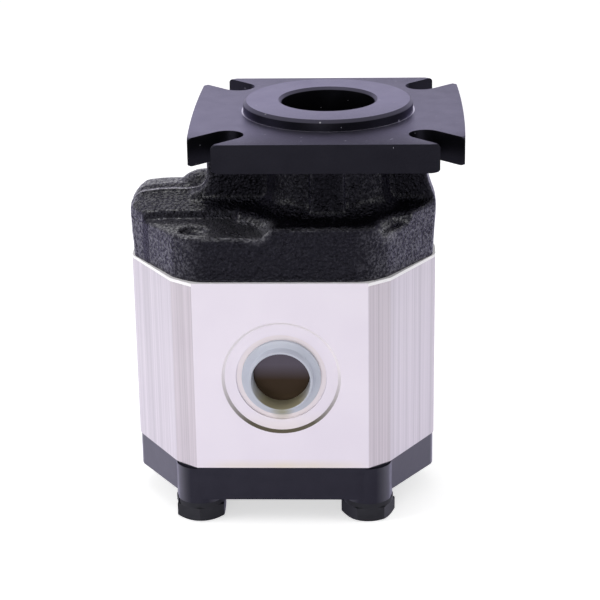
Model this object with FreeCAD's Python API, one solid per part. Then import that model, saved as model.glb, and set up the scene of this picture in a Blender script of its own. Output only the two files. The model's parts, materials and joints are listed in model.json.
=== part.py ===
import FreeCAD, Part
import math
import os

from FreeCAD import Vector

# External gear pump with a cast front cover, an extruded body and a cast rear cover.
# Millimetres. The origin is on the shaft axis, in the mounting face of the flange.
# +Z leaves the mounting face along the shaft, +X runs along the body towards its
# short side, and -Y is the side of the port that faces the viewer.

# Gear set
tooth_count = 12
gear_module = 2.75
pressure_angle = math.radians(20.0)
tooth_backlash = 0.16
flank_points = 4
tip_shortening = 0.25
root_clearance = 0.30
gear_width = 25.0
gear_side_clearance = 0.10
gear_tip_clearance = 0.30

# Shafts and bearings
journal_diameter = 19.0
running_clearance = 0.04
bush_wall = 1.5
journal_end_gap = 1.0
seal_land_diameter = 18.0
drive_end_drop = 0.6
tang_length = 5.5
tang_thickness = 8.0
journal_shoulder_depth = 43.0

# Bearing blocks and their seals
block_slide_clearance = 0.03
axial_seal_inner_radius = 15.2
axial_seal_width = 2.0
axial_seal_thickness = 1.6
backup_ring_thickness = 0.8
seal_opening_offset = 5.0
relief_pocket_length = 7.0
relief_pocket_width = 5.0
relief_pocket_depth = 1.2
relief_pocket_front = 6.25
relief_pocket_back = 1.25

# Mounting flange and coupling bore
flange_size = 92.6
flange_thickness = 10.0
ear_tip_radius = 2.2
ear_tip_margin = 0.2
slot_width = 11.5
slot_pitch = 67.2
pilot_diameter = 60.0
pilot_height = 3.9
pilot_chamfer = 1.1
coupling_bore_diameter = 33.0
coupling_bore_depth = 20.0
coupling_bore_chamfer = 1.0

# Neck between the flange and the front cover block
front_cover_height = 53.0
hub_radius = 22.5
hub_foot_radius = 6.0
hub_head_radius = 5.0
web_thickness = 12.0
web_left_reach = 43.2
web_right_reach = 35.0
web_foot_radius = 5.5
web_flare_rise = 9.3
rib_reach = 24.8

# Front cover block
pad_depth = 36.0
deck_rise = 3.7
ridge_rise = 7.0
ridge_half_width = 13.5
ridge_slope_drop = 3.8
seam_step = 0.5
ridge_back_chamfer = 2.0
ridge_end_radius = 6.0
deck_left_reach = 32.0
pad_radius = 14.4
pad_offset = 3.0
pad_wall_draft = math.radians(42.0)
pocket_sink = 3.5
pocket_floor_radius = 12.8
pocket_wall_draft = math.radians(30.0)
pocket_rim_width = 1.8

# Shaft seal, its pocket and its retaining ring
seal_pocket_diameter = 32.0
seal_pocket_depth = 34.0
shaft_seal_width = 7.0
shaft_seal_wall = 1.2
shaft_passage_clearance = 0.8
ring_thickness = 1.2
ring_radial_width = 2.6
ring_groove_depth = 0.85
ring_groove_play = 0.05
ring_lug_radius = 3.0
ring_hole_radius = 1.0
ring_lug_inset = 0.65
ring_gap_angle = 34.0

# Body and covers
body_side_wall = 17.9
body_end_wall = 18.1
body_height = 69.1
corner_chamfer_length = 15.45
facet_width = 7.75
facet_depth = 6.0
end_flat_width = 11.0
body_end_radius = 6.0
body_corner_radius = 1.0
cover_inset = 1.3
cover_foot_overhang = -0.2
cover_head_overhang = 0.9
rear_cover_overhang = -1.3
cover_end_radius = 6.5
cover_corner_radius = 4.0
cover_flat_radius = 14.0
rear_cover_thickness = 12.8
body_seal_gap = 1.5
body_seal_width = 2.2
body_seal_depth = 1.8

# Ports
port_spotface_diameter = 40.0
port_spotface_depth = 1.0
port_spotface_flare = 1.0
port_recess_diameter = 32.0
port_recess_depth = 1.8
port_thread_diameter = 24.1
port_thread_length = 17.0
port_passage_diameter = 17.0
port_passage_overlap = 4.7
plug_rim_diameter = 28.0
plug_rim_thickness = 1.4
plug_rim_chamfer = 0.3
plug_collar_gap = 0.85
plug_collar_rise = 3.7
plug_wall = 0.8
plug_cup_depth = 2.8
plug_taper = 0.8
plug_length = 14.0
plug_throat = 10.0

# Housing bolts, washers and dowels
bolt_diameter = 10.0
bolt_end_distance = 23.5
bolt_side_distance = 10.5
bolt_hole_clearance = 0.5
bolt_core_diameter = 8.5
bolt_tip_recess = 2.5
head_across_flats = 17.0
head_height = 5.4
head_face_inset = 0.22
head_face_angle = math.radians(60.0)
head_turns = (6.5, 30.0, 12.0, 24.0)
boss_diameter = 17.5
boss_height = 2.0
washer_outer_diameter = 18.1
washer_thickness = 2.1
washer_gap = 1.2
washer_turns = (45.0, 210.0, 84.0, 168.0)
dowel_diameter = 6.0
dowel_length = 16.0
dowel_end_distance = 8.4
dowel_end_gap = 1.0

# Derived places
centre_distance = gear_module * tooth_count
drive_end_depth = coupling_bore_depth + drive_end_drop
deck_depth = pad_depth - deck_rise
ridge_depth = pad_depth - ridge_rise
pocket_depth = pad_depth + pocket_sink
web_flare_depth = deck_depth - web_flare_rise
bolt_tip = -pad_depth - bolt_tip_recess
body_x = -centre_distance / 2
drive_x = 0.0
idler_x = -centre_distance
body_top = -front_cover_height
body_bottom = body_top - body_height
body_mid = (body_top + body_bottom) / 2
cover_bottom = body_bottom - rear_cover_thickness
boss_bottom = cover_bottom - boss_height
washer_bottom = boss_bottom - washer_thickness
head_bottom = washer_bottom - head_height
gear_top = body_mid + gear_width / 2
gear_bottom = body_mid - gear_width / 2
pitch_radius = centre_distance / 2
tip_radius = pitch_radius + gear_module - tip_shortening
root_radius = pitch_radius - gear_module - root_clearance
chamber_radius = tip_radius + gear_tip_clearance
body_length = centre_distance + 2 * (chamber_radius + body_end_wall)
body_depth = 2 * (chamber_radius + body_side_wall)
bolt_pitch_x = body_length - 2 * bolt_end_distance
bolt_pitch_y = body_depth - 2 * bolt_side_distance
dowel_pitch = body_length - 2 * dowel_end_distance
bush_outer_radius = journal_diameter / 2 + running_clearance + bush_wall
slot_centre = slot_pitch / 2
port_x = body_x
bolt_places = [
    (body_x + sx * bolt_pitch_x / 2, sy * bolt_pitch_y / 2)
    for sx, sy in ((1, -1), (-1, -1), (-1, 1), (1, 1))
]
dowel_places = [(body_x + s * dowel_pitch / 2, 0.0) for s in (-1, 1)]
over = 1.0


def cylinder(radius, low, high, x=0.0, y=0.0):
    """Upright cylinder between two heights."""
    return Part.makeCylinder(radius, high - low, Vector(x, y, low))


def tube(outer, inner, low, high, x=0.0, y=0.0):
    """Upright tube between two heights."""
    bore = cylinder(inner, low - over, high + over, x, y)
    return cylinder(outer, low, high, x, y).cut(bore)


def rounded_face(corners, radii):
    """Flat face through the corners, each rounded by a tangent arc of its radius."""
    arcs = []
    for index, corner in enumerate(corners):
        back = (corners[index - 1] - corner).normalize()
        ahead = (corners[(index + 1) % len(corners)] - corner).normalize()
        half_turn = back.getAngle(ahead) / 2
        bisector = (back + ahead).normalize()
        radius = radii[index]
        setback = radius / math.tan(half_turn)
        middle = corner + bisector * (radius / math.sin(half_turn) - radius)
        arcs.append((corner + back * setback, middle, corner + ahead * setback, radius))
    edges = []
    for index, (start, middle, end, radius) in enumerate(arcs):
        if radius > 0:
            edges.append(Part.Arc(start, middle, end).toShape())
        following = arcs[(index + 1) % len(arcs)][0]
        edges.append(Part.makeLine(end, following))
    return Part.Face(Part.Wire(edges))


def inset_corners(corners, inset):
    """Corners of a counter-clockwise outline moved inwards by the same distance."""
    moved = []
    for index, corner in enumerate(corners):
        arriving = (corner - corners[index - 1]).normalize()
        leaving = (corners[(index + 1) % len(corners)] - corner).normalize()
        first = Vector(-arriving.y, arriving.x, 0)
        second = Vector(-leaving.y, leaving.x, 0)
        share = inset / (1 + first.dot(second))
        moved.append(corner + (first + second) * share)
    return moved


def housing_outline(inset, overhang, low, high, flat_radius, corner_radius, end_radius):
    """Prism of the housing's outline: two milled flats, facets, chamfers and short ends."""
    half_length = body_length / 2
    half_facet = half_length - corner_chamfer_length
    half_flat = half_facet - facet_width
    half_depth = body_depth / 2
    quarter = [
        (half_length + inset + overhang, end_flat_width / 2, end_radius),
        (half_facet, half_depth - facet_depth, corner_radius),
        (half_flat, half_depth, flat_radius),
    ]
    places = quarter + [(-x, y, r) for x, y, r in reversed(quarter)]
    places += [(x, -y, r) for x, y, r in reversed(places)]
    corners = [Vector(body_x + x, y, low) for x, y, r in places]
    face = rounded_face(inset_corners(corners, inset), [r for x, y, r in places])
    return face.extrude(Vector(0, 0, high - low))


def cover_prism(overhang, low, high):
    """Prism of a cover's outline, which stands inside the body's at the ports."""
    return housing_outline(
        cover_inset, overhang, low, high, cover_flat_radius, cover_corner_radius, cover_end_radius
    )


def side_profile(low, high, end_radius):
    """Prism across the front cover, whose ends lean outwards from foot to head."""
    half = body_length / 2
    foot = half + cover_foot_overhang
    rise = (high - body_top) / (-pad_depth - body_top)
    head = foot + (cover_head_overhang - cover_foot_overhang) * rise
    places = [
        (body_x - foot, low, 0),
        (body_x + foot, low, 0),
        (body_x + head, high, end_radius),
        (body_x - head, high, end_radius),
    ]
    corners = [Vector(x, -body_depth, z) for x, z, r in places]
    face = rounded_face(corners, [r for x, z, r in places])
    return face.extrude(Vector(0, 2 * body_depth, 0))


def chambers(radius, low, high):
    """The two overlapping round chambers in which the gears turn."""
    return cylinder(radius, low, high, drive_x).fuse(cylinder(radius, low, high, idler_x))


def oval_ring(inner, width, low, high):
    """Ring of two half circles and two straights round both gear axes."""
    def oval(radius):
        disc = cylinder(radius, low, high, drive_x).fuse(cylinder(radius, low, high, idler_x))
        bar = Part.makeBox(
            centre_distance, 2 * radius, high - low, Vector(idler_x, -radius, low)
        )
        return disc.fuse(bar)
    return oval(inner + width).cut(oval(inner)).removeSplitter()


def slot_cutter(angle):
    """One flange slot, open at its corner, that points along the given direction."""
    reach = slot_centre * math.sqrt(2)
    half = slot_width / 2
    low = -flange_thickness - over
    height = flange_thickness + 2 * over
    end = Part.makeCylinder(half, height, Vector(reach, 0, low))
    run = Part.makeBox(flange_size, slot_width, height, Vector(reach, -half, low))
    cutter = end.fuse(run)
    cutter.rotate(Vector(0, 0, 0), Vector(0, 0, 1), angle)
    return cutter


def mounting_flange():
    """Square flange with four slots open at the corners, its tips rounded top and bottom."""
    half = flange_size / 2
    flange = Part.makeBox(
        flange_size, flange_size, flange_thickness, Vector(-half, -half, -flange_thickness)
    )
    for quadrant in range(4):
        flange = flange.cut(slot_cutter(45 + 90 * quadrant))
    tip_reach = math.hypot(half, half - slot_width / math.sqrt(2))
    disc = cylinder(tip_reach + ear_tip_margin, -flange_thickness, 0)
    rims = [edge for edge in disc.Edges if edge.Curve.TypeId == "Part::GeomCircle"]
    return flange.common(disc.makeFillet(ear_tip_radius, rims))


def revolve(points, arcs_after):
    """Solid of revolution about Z of an outline in the XZ plane.

    arcs_after maps the index of an outline point to the middle point of the arc that
    runs from it to the next point; the other runs are straight.
    """
    edges = []
    for index, point in enumerate(points):
        following = points[(index + 1) % len(points)]
        start = Vector(point[0], 0, point[1])
        end = Vector(following[0], 0, following[1])
        if index in arcs_after:
            middle = Vector(arcs_after[index][0], 0, arcs_after[index][1])
            edges.append(Part.Arc(start, middle, end).toShape())
        else:
            edges.append(Part.makeLine(start, end))
    return Part.Face(Part.Wire(edges)).revolve(Vector(0, 0, 0), Vector(0, 0, 1), 360)


def hub():
    """Round hub of the neck, with a filleted foot and a filleted head."""
    foot_z = -deck_depth
    head_z = -flange_thickness
    diagonal = 1 - math.sqrt(0.5)
    outline = [
        (0, -pad_depth),
        (hub_radius + hub_foot_radius, -pad_depth),
        (hub_radius + hub_foot_radius, foot_z),
        (hub_radius, foot_z + hub_foot_radius),
        (hub_radius, head_z - hub_head_radius),
        (hub_radius + hub_head_radius, head_z),
        (hub_radius + hub_head_radius, head_z / 2),
        (0, head_z / 2),
    ]
    foot_mid = (
        hub_radius + hub_foot_radius * diagonal,
        foot_z + hub_foot_radius * diagonal,
    )
    head_mid = (
        hub_radius + hub_head_radius * diagonal,
        head_z - hub_head_radius * diagonal,
    )
    return revolve(outline, {2: foot_mid, 4: head_mid})


def long_web():
    """Web along X, which flares out to the right end of the cover block."""
    right_end = body_x + body_length / 2 + cover_head_overhang
    half = web_thickness / 2
    top = -flange_thickness / 2
    places = [
        (-web_left_reach, top, 0),
        (-web_left_reach, -ridge_depth, web_foot_radius),
        (idler_x - bush_outer_radius - web_foot_radius, -ridge_depth, 0),
        (idler_x - bush_outer_radius - web_foot_radius, -pad_depth, 0),
        (right_end, -pad_depth, 0),
        (right_end, -deck_depth, web_foot_radius),
        (web_right_reach, -web_flare_depth, web_foot_radius),
        (web_right_reach, top, 0),
    ]
    corners = [Vector(x, -half, z) for x, z, r in places]
    face = rounded_face(corners, [r for x, z, r in places])
    return face.extrude(Vector(0, web_thickness, 0))


def cross_rib():
    """Rib along Y, which stiffens the hub towards the port sides."""
    return Part.makeBox(
        web_thickness,
        2 * rib_reach,
        deck_depth - flange_thickness / 2,
        Vector(-web_thickness / 2, -rib_reach, -deck_depth),
    )


def deck():
    """Cover block up to its ridge, cut down round the four flange bolts."""
    block = cover_prism(cover_head_overhang, body_top, -ridge_depth)
    block = block.common(side_profile(body_top, -ridge_depth, ridge_end_radius))
    front_seam = -ridge_depth - seam_step
    ridge = [
        (-body_depth, body_top),
        (body_depth, body_top),
        (body_depth, -pad_depth),
        (ridge_half_width, -pad_depth),
        (ridge_half_width, -ridge_depth - ridge_back_chamfer),
        (ridge_half_width - ridge_back_chamfer, -ridge_depth),
        (0, -ridge_depth),
        (0, front_seam),
        (-ridge_half_width, front_seam - ridge_slope_drop),
        (-ridge_half_width, -pad_depth),
        (-body_depth, -pad_depth),
    ]
    corners = [Vector(body_x - body_length, y, z) for y, z in ridge]
    roof = Part.Face(Part.makePolygon(corners + corners[:1]))
    roof = roof.extrude(Vector(2 * body_length, 0, 0))
    middle = Part.makeBox(
        body_length, 2 * body_depth, pad_depth - deck_depth + over,
        Vector(-deck_left_reach, -body_depth, -pad_depth - over),
    )
    block = block.common(roof.fuse(middle))
    for side in (-1, 1):
        block = block.cut(left_pad(side)).cut(right_pocket(side))
    return block


def left_pad(side):
    """Lowered pad round a left flange bolt and the bolt end beside it."""
    x = -slot_centre - pad_offset
    y = side * slot_centre
    height = pad_depth - ridge_depth + over
    flare = height * math.tan(pad_wall_draft)
    round_end = Part.makeCone(pad_radius, pad_radius + flare, height, Vector(x, y, -pad_depth))
    reach = slot_centre + pad_radius + flare
    near = min(side * ridge_half_width, side * reach)
    corner = Part.makeBox(
        body_length, reach - ridge_half_width, height, Vector(x - body_length, near, -pad_depth)
    )
    beyond = Part.makeBox(reach, 2 * reach, height, Vector(x, -reach, -pad_depth))
    return round_end.common(beyond).fuse(corner)


def right_pocket(side):
    """Scooped pocket that clears a right flange bolt and leaves a rim at the chamfer."""
    height = pocket_depth - ridge_depth + over
    flare = height * math.tan(pocket_wall_draft)
    place = Vector(slot_centre, side * slot_centre, -pocket_depth)
    scoop = Part.makeCone(pocket_floor_radius, pocket_floor_radius + flare, height, place)
    inner = housing_outline(
        cover_inset + pocket_rim_width, cover_head_overhang - pocket_rim_width, -pocket_depth,
        -pad_depth, cover_flat_radius, cover_corner_radius, cover_end_radius,
    )
    front = Part.makeBox(
        body_length, body_depth, pocket_depth - pad_depth,
        Vector(slot_centre - pocket_floor_radius - body_length, -body_depth / 2, -pocket_depth),
    )
    above = Part.makeBox(
        2 * body_length, 2 * body_depth, height,
        Vector(-body_length, -body_depth, -pad_depth),
    )
    return scoop.common(inner.fuse(front).fuse(above))


def front_cover_bores():
    """Coupling bore, seal pocket, ring groove and shaft passage, from the top down."""
    bore = coupling_bore_diameter / 2
    pocket = seal_pocket_diameter / 2
    passage = journal_diameter / 2 + shaft_passage_clearance
    top = pilot_height + over
    cut = cylinder(bore, -coupling_bore_depth, top)
    cut = cut.fuse(cylinder(pocket, -seal_pocket_depth, top))
    cut = cut.fuse(cylinder(passage, -front_cover_height - over, top))
    groove_low = ring_bottom() - ring_groove_play
    groove_high = ring_bottom() + ring_thickness + ring_groove_play
    cut = cut.fuse(cylinder(pocket + ring_groove_depth, groove_low, groove_high))
    chamfer = Part.makeCone(
        bore, bore + coupling_bore_chamfer + over, coupling_bore_chamfer + over,
        Vector(0, 0, pilot_height - coupling_bore_chamfer),
    )
    return cut.fuse(chamfer)


def ring_bottom():
    """Height of the retaining ring's lower face, on top of the shaft seal."""
    return -seal_pocket_depth + shaft_seal_width


def pilot():
    """Raised pilot ring with a chamfered rim."""
    radius = pilot_diameter / 2
    ring = cylinder(radius, -flange_thickness / 2, pilot_height - pilot_chamfer)
    rim = Part.makeCone(
        radius, radius - pilot_chamfer, pilot_chamfer, Vector(0, 0, pilot_height - pilot_chamfer)
    )
    return ring.fuse(rim)


def front_cover():
    """Front cover in one casting: block, neck, flange and pilot, with its bores."""
    shape = deck()
    for piece in (hub(), long_web(), cross_rib(), mounting_flange(), pilot()):
        shape = shape.fuse(piece)
    shape = shape.removeSplitter()
    shape = shape.cut(front_cover_bores())
    for x, y in bolt_places:
        shape = shape.cut(cylinder(bolt_diameter / 2, body_top - over, bolt_tip, x, y))
        if x < body_x:
            core = cylinder(bolt_core_diameter / 2, bolt_tip, -pad_depth + over, x, y)
            shape = shape.cut(core)
    for x, y in dowel_places:
        shape = shape.cut(cylinder(dowel_diameter / 2, body_top - over, dowel_top(), x, y))
    return shape.cut(body_seal_groove(body_top, 1))


def dowel_top():
    """Height of the blind dowel holes' ends in the front cover."""
    return body_top + dowel_length / 2 + dowel_end_gap


def body_seal_groove(face, side):
    """Oval groove for a body seal, cut into a cover from its inner face."""
    inner = chamber_radius + body_seal_gap
    low, high = sorted((face - side * over, face + side * body_seal_depth))
    return oval_ring(inner, body_seal_width, low, high)


def body_seal(face, side):
    """Oval body seal that fills its groove up to the face."""
    inner = chamber_radius + body_seal_gap
    low, high = sorted((face, face + side * body_seal_depth))
    return oval_ring(inner, body_seal_width, low, high)


def port_cutter(side):
    """Stepped port bore from one milled face into the gear chambers."""
    passage_depth = body_depth / 2 - port_passage_overlap
    steps = [
        (port_recess_diameter, port_recess_depth),
        (port_thread_diameter, port_recess_depth + port_thread_length),
        (port_passage_diameter, passage_depth),
    ]
    inward = Vector(0, -side, 0)
    floor = Vector(port_x, side * (body_depth / 2 - port_spotface_depth), body_mid)
    rise = port_spotface_depth + over
    slope = port_spotface_flare / port_spotface_depth
    foot = port_spotface_diameter / 2
    cutter = Part.makeCone(foot, foot + slope * rise, rise, floor, inward * -1)
    start = Vector(port_x, side * (body_depth / 2 + over), body_mid)
    for diameter, depth in steps:
        cutter = cutter.fuse(Part.makeCylinder(diameter / 2, depth + over, start, inward))
    return cutter


def pump_body():
    """Extruded body with gear chambers, ports, bolt holes and dowel holes."""
    shape = housing_outline(
        0, 0, body_bottom, body_top, 0, body_corner_radius, body_end_radius
    )
    shape = shape.cut(chambers(chamber_radius, body_bottom - over, body_top + over))
    for side in (-1, 1):
        shape = shape.cut(port_cutter(side))
    hole = bolt_diameter / 2 + bolt_hole_clearance
    for x, y in bolt_places:
        shape = shape.cut(cylinder(hole, body_bottom - over, body_top + over, x, y))
    depth = dowel_length / 2 + dowel_end_gap
    for x, y in dowel_places:
        shape = shape.cut(cylinder(dowel_diameter / 2, body_top - depth, body_top + over, x, y))
        shape = shape.cut(
            cylinder(dowel_diameter / 2, body_bottom - over, body_bottom + depth, x, y)
        )
    return shape


def rear_cover():
    """Rear cover plate with a boss under each housing bolt."""
    shape = cover_prism(rear_cover_overhang, cover_bottom, body_bottom)
    for x, y in bolt_places:
        shape = shape.fuse(cylinder(boss_diameter / 2, boss_bottom, body_bottom - over, x, y))
    shape = shape.removeSplitter()
    hole = bolt_diameter / 2 + bolt_hole_clearance
    for x, y in bolt_places:
        shape = shape.cut(cylinder(hole, boss_bottom - over, body_bottom + over, x, y))
    depth = dowel_length / 2 + dowel_end_gap
    for x, y in dowel_places:
        shape = shape.cut(
            cylinder(dowel_diameter / 2, body_bottom - depth, body_bottom + over, x, y)
        )
    return shape.cut(body_seal_groove(body_bottom, -1))


def involute_point(radius, half_angle_at_pitch, side):
    """Point of a tooth flank at a radius, for a tooth centred on +X."""
    base_radius = pitch_radius * math.cos(pressure_angle)
    pitch_involute = math.tan(pressure_angle) - pressure_angle
    local = math.acos(min(1.0, base_radius / radius))
    turn = half_angle_at_pitch + pitch_involute - (math.tan(local) - local)
    return Vector(radius * math.cos(turn), side * radius * math.sin(turn), 0)


def polar(radius, angle):
    """Point in the XY plane."""
    return Vector(radius * math.cos(angle), radius * math.sin(angle), 0)


def gear_teeth(phase):
    """Toothed part of a gear about the Z axis, with involute flanks."""
    base_radius = pitch_radius * math.cos(pressure_angle)
    thickness = math.pi * gear_module / 2 - tooth_backlash
    half_angle = thickness / pitch_radius / 2
    tip_roll = math.sqrt((tip_radius / base_radius) ** 2 - 1)
    rolls = [tip_roll * step / (flank_points - 1) for step in range(flank_points)]
    radii = [base_radius * math.hypot(1, roll) for roll in rolls]
    pitch_step = 2 * math.pi / tooth_count
    root_turn = half_angle + math.tan(pressure_angle) - pressure_angle
    edges = []
    for tooth in range(tooth_count):
        turn = math.degrees(phase + tooth * pitch_step)
        spin = FreeCAD.Rotation(Vector(0, 0, 1), turn)
        lower = [spin.multVec(involute_point(r, half_angle, -1)) for r in radii]
        upper = [spin.multVec(involute_point(r, half_angle, 1)) for r in reversed(radii)]
        root_in = spin.multVec(polar(root_radius, -root_turn))
        root_out = spin.multVec(polar(root_radius, root_turn))
        root_mid = spin.multVec(polar(root_radius, pitch_step / 2))
        next_in = spin.multVec(polar(root_radius, pitch_step - root_turn))
        edges.append(Part.makeLine(root_in, lower[0]))
        edges.append(flank(lower))
        tip = spin.multVec(Vector(tip_radius, 0, 0))
        edges.append(Part.Arc(lower[-1], tip, upper[0]).toShape())
        edges.append(flank(upper))
        edges.append(Part.makeLine(upper[-1], root_out))
        edges.append(Part.Arc(root_out, root_mid, next_in).toShape())
    teeth = Part.Face(Part.Wire(edges))
    teeth.translate(Vector(0, 0, gear_bottom + gear_side_clearance))
    return teeth.extrude(Vector(0, 0, gear_width - 2 * gear_side_clearance))


def flank(points):
    """Smooth edge through the points of one tooth flank."""
    curve = Part.BSplineCurve()
    curve.interpolate(points)
    return curve.toShape()


def drive_gear_shaft():
    """Drive gear in one piece with its journals, seal land and two-flat drive tang."""
    journal = journal_diameter / 2
    land = seal_land_diameter / 2
    tang_low = -drive_end_depth - tang_length
    shape = gear_teeth(0.0)
    shape = shape.fuse(cylinder(journal, body_bottom + journal_end_gap, -journal_shoulder_depth))
    shape = shape.fuse(cylinder(land, body_mid, tang_low))
    tang = cylinder(land, tang_low, -drive_end_depth)
    flats = Part.makeBox(
        2 * land, tang_thickness, tang_length, Vector(-land, -tang_thickness / 2, tang_low)
    )
    shape = shape.fuse(tang.common(flats))
    return shape.removeSplitter()


def idler_gear_shaft():
    """Idler gear in one piece with its two journals."""
    half_tooth = math.pi / tooth_count
    low = body_bottom + journal_end_gap
    high = body_top - journal_end_gap
    shape = gear_teeth(half_tooth).fuse(cylinder(journal_diameter / 2, low, high))
    shape = shape.removeSplitter()
    shape.translate(Vector(idler_x, 0, 0))
    return shape


def axial_seal_groove_shape(low, high):
    """Figure-three band round both journals, open towards the suction side."""
    inner = axial_seal_inner_radius
    outer = inner + axial_seal_width
    band = None
    for x in (drive_x, idler_x):
        disc = cylinder(outer, low, high, x)
        band = disc if band is None else band.fuse(disc)
    for x in (drive_x, idler_x):
        band = band.cut(cylinder(inner, low - over, high + over, x))
    keep = Part.makeBox(
        body_length, body_depth, high - low,
        Vector(body_x - body_length / 2, -seal_opening_offset, low),
    )
    return band.common(keep).removeSplitter()


def bearing_block(outer_face, inner_face, side):
    """Figure-eight bearing block between a cover and the gears."""
    low, high = sorted((outer_face, inner_face))
    shape = chambers(chamber_radius - block_slide_clearance, low, high).removeSplitter()
    for x in (drive_x, idler_x):
        shape = shape.cut(cylinder(bush_outer_radius, low - over, high + over, x))
    depth = axial_seal_thickness + backup_ring_thickness
    groove_low, groove_high = sorted((outer_face + side * over, outer_face - side * depth))
    shape = shape.cut(axial_seal_groove_shape(groove_low, groove_high))
    pocket_low, pocket_high = sorted(
        (inner_face - side * over, inner_face + side * relief_pocket_depth)
    )
    for y in (-relief_pocket_front, relief_pocket_back):
        shape = shape.cut(
            Part.makeBox(
                relief_pocket_length,
                relief_pocket_width,
                pocket_high - pocket_low,
                Vector(body_x - relief_pocket_length / 2, y, pocket_low),
            )
        )
    return shape


def bush(x, outer_face, inner_face):
    """Lined bearing bush in a block."""
    low, high = sorted((outer_face, inner_face))
    return tube(bush_outer_radius, journal_diameter / 2 + running_clearance, low, high, x)


def axial_seal(outer_face, side):
    """Rubber figure-three seal at the bottom of its groove."""
    depth = axial_seal_thickness + backup_ring_thickness
    low, high = sorted((outer_face - side * depth, outer_face - side * backup_ring_thickness))
    return axial_seal_groove_shape(low, high)


def backup_ring(outer_face, side):
    """Hard figure-three ring between the rubber seal and the cover."""
    low, high = sorted((outer_face, outer_face - side * backup_ring_thickness))
    return axial_seal_groove_shape(low, high)


def shaft_seal():
    """Lip seal: an outer case, a web and a lip that bears on the shaft."""
    outer = seal_pocket_diameter / 2
    inner = seal_land_diameter / 2 + running_clearance
    low = -seal_pocket_depth
    high = low + shaft_seal_width
    case = tube(outer, outer - shaft_seal_wall, low, high)
    web = tube(outer, inner, high - shaft_seal_wall, high)
    lip = tube(inner + shaft_seal_wall, inner, low + shaft_seal_wall, high)
    return case.fuse(web).fuse(lip).removeSplitter()


def seal_retaining_ring():
    """Internal retaining ring with a gap and two pierced lugs."""
    outer = seal_pocket_diameter / 2 + ring_groove_depth
    inner = outer - ring_radial_width
    low = ring_bottom()
    high = low + ring_thickness
    ring = tube(outer, inner, low, high)
    half_gap = math.radians(ring_gap_angle / 2)
    reach = 2 * outer
    wedge_points = [
        Vector(0, 0, low - over),
        Vector(reach * math.cos(half_gap), -reach * math.sin(half_gap), low - over),
        Vector(reach * math.cos(half_gap), reach * math.sin(half_gap), low - over),
    ]
    wedge = Part.Face(Part.makePolygon(wedge_points + wedge_points[:1]))
    ring = ring.cut(wedge.extrude(Vector(0, 0, ring_thickness + 2 * over)))
    lug_reach = inner - ring_lug_inset
    lug_turn = half_gap + ring_lug_radius / lug_reach
    for side in (-1, 1):
        x = lug_reach * math.cos(lug_turn)
        y = side * lug_reach * math.sin(lug_turn)
        ring = ring.fuse(cylinder(ring_lug_radius, low, high, x, y))
        ring = ring.cut(cylinder(ring_hole_radius, low - over, high + over, x, y))
    return ring.removeSplitter()


def port_plug(side):
    """Shipping plug of a port: a skirt in the thread, a rim in the recess and a cup."""
    thread = port_thread_diameter / 2
    rim = plug_rim_diameter / 2
    collar = thread - plug_collar_gap
    mouth = collar - plug_wall
    outline = [
        (0, -plug_cup_depth),
        (mouth, -plug_cup_depth),
        (mouth, plug_rim_thickness + plug_collar_rise),
        (collar, plug_rim_thickness + plug_collar_rise),
        (collar, plug_rim_thickness),
        (rim - plug_rim_chamfer, plug_rim_thickness),
        (rim, plug_rim_thickness - plug_rim_chamfer),
        (rim, 0),
        (thread, 0),
        (thread - plug_taper, -plug_length),
        (thread - plug_taper - plug_wall, -plug_length),
        (plug_throat, -plug_cup_depth - plug_wall),
        (0, -plug_cup_depth - plug_wall),
    ]
    plug = revolve(outline, {})
    plug.rotate(Vector(0, 0, 0), Vector(1, 0, 0), -90 * side)
    plug.translate(Vector(port_x, side * (body_depth / 2 - port_recess_depth), body_mid))
    return plug


def hex_bolt(x, y, turn):
    """Hexagon head bolt that stands head down under the rear cover."""
    corner_radius = head_across_flats / 2 / math.cos(math.radians(30))
    corners = [
        Vector(corner_radius * math.cos(math.radians(60 * i)),
               corner_radius * math.sin(math.radians(60 * i)), head_bottom)
        for i in range(6)
    ]
    hexagon = Part.Face(Part.makePolygon(corners + corners[:1]))
    head = hexagon.extrude(Vector(0, 0, head_height))
    face_radius = head_across_flats / 2 - head_face_inset
    cone = Part.makeCone(
        face_radius,
        face_radius + head_height * math.tan(head_face_angle),
        head_height,
        Vector(0, 0, head_bottom),
    )
    head = head.common(cone)
    head.rotate(Vector(0, 0, 0), Vector(0, 0, 1), turn)
    shank = cylinder(bolt_diameter / 2, washer_bottom - over, bolt_tip)
    bolt = head.fuse(shank)
    bolt.translate(Vector(x, y, 0))
    return bolt.removeSplitter()


def spring_washer(x, y, turn):
    """Split spring washer under a bolt head."""
    washer = tube(
        washer_outer_diameter / 2, bolt_diameter / 2 + bolt_hole_clearance / 2,
        washer_bottom, boss_bottom,
    )
    gap = Part.makeBox(
        washer_outer_diameter, washer_gap, washer_thickness + 2 * over,
        Vector(0, -washer_gap / 2, washer_bottom - over),
    )
    gap.rotate(Vector(0, 0, 0), Vector(0, 0, 1), turn)
    washer = washer.cut(gap)
    washer.translate(Vector(x, y, 0))
    return washer


def dowel_pin(x, face):
    """Dowel pin across one joint face."""
    half = dowel_length / 2
    return cylinder(dowel_diameter / 2, face - half, face + half, x)


def export(name, shape):
    """Write one node's STEP file."""
    shape.exportStep("parts/" + name + ".step")


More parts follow.
